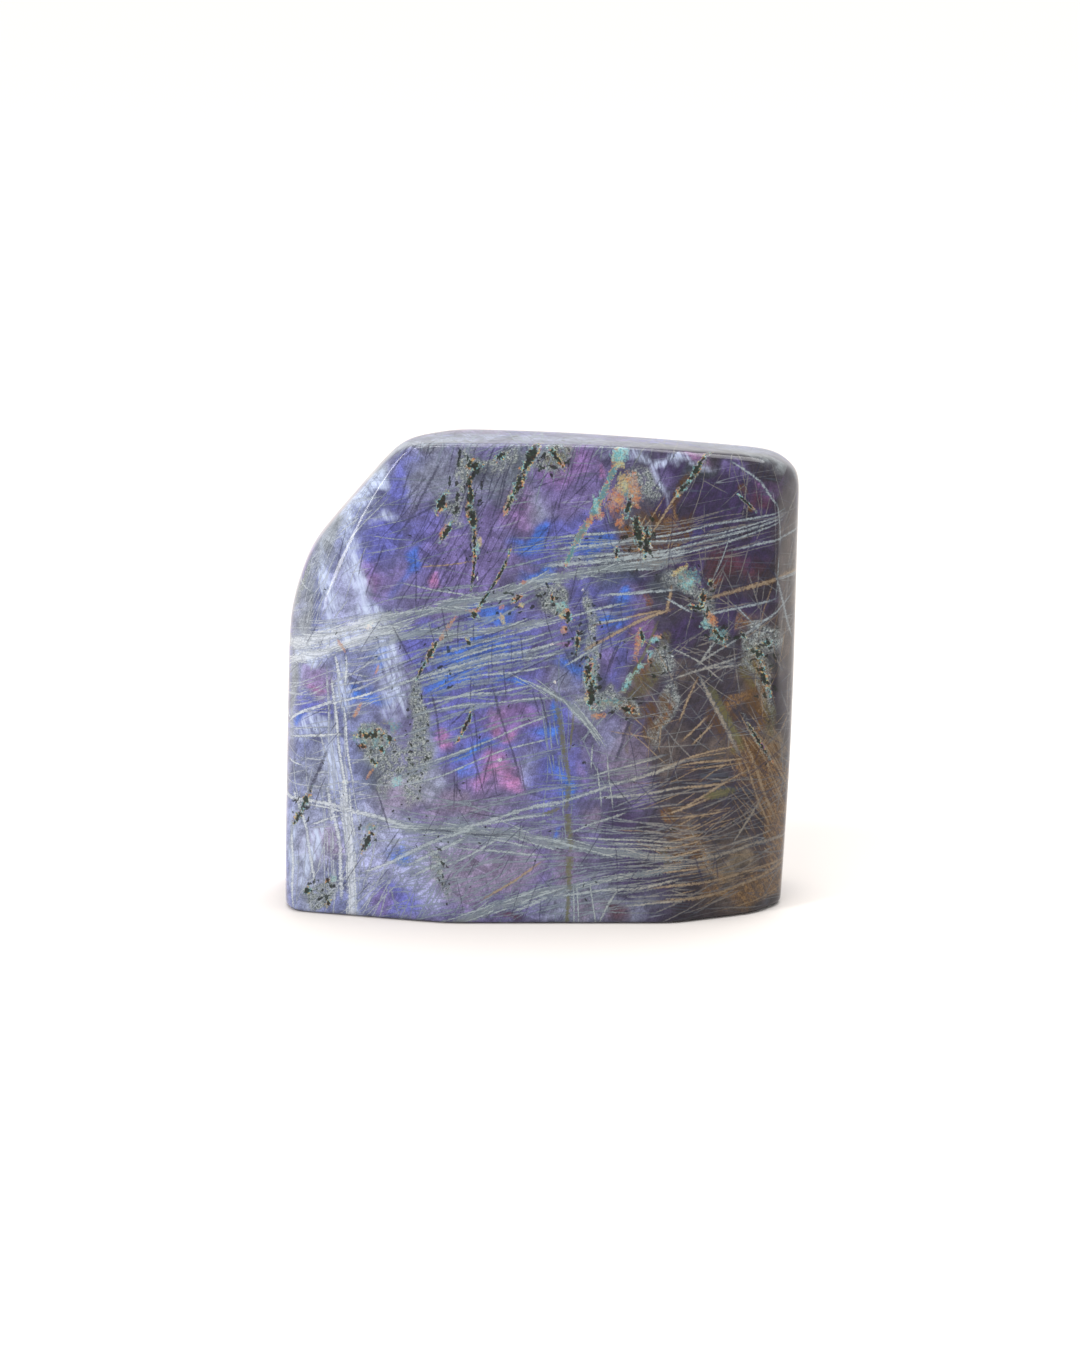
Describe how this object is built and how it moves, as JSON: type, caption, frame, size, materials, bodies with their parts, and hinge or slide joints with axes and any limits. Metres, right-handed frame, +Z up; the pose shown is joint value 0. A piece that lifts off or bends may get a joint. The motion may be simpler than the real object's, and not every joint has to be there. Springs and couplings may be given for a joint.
{
  "type": "polished labradorite freeform",
  "caption": "Free-standing polished labradorite slab on a flat foot, with broad front flats, a slanted shoulder and softly rounded ridges.",
  "frame": {"origin": "middle of the footprint on the flat foot, at the level that the stone stands on", "axes": "+Z up, +X to the viewer's right along the width, +Y through the thickness to the back; the flashing front flat faces -Y"},
  "size_m": [0.091, 0.0366, 0.0841],
  "materials": {
    "labradorite": "high polish, blue-violet flash in grey feldspar with pale veins"
  },
  "bodies": {
    "root": {"stone": "labradorite"}
  },
  "joints": []
}
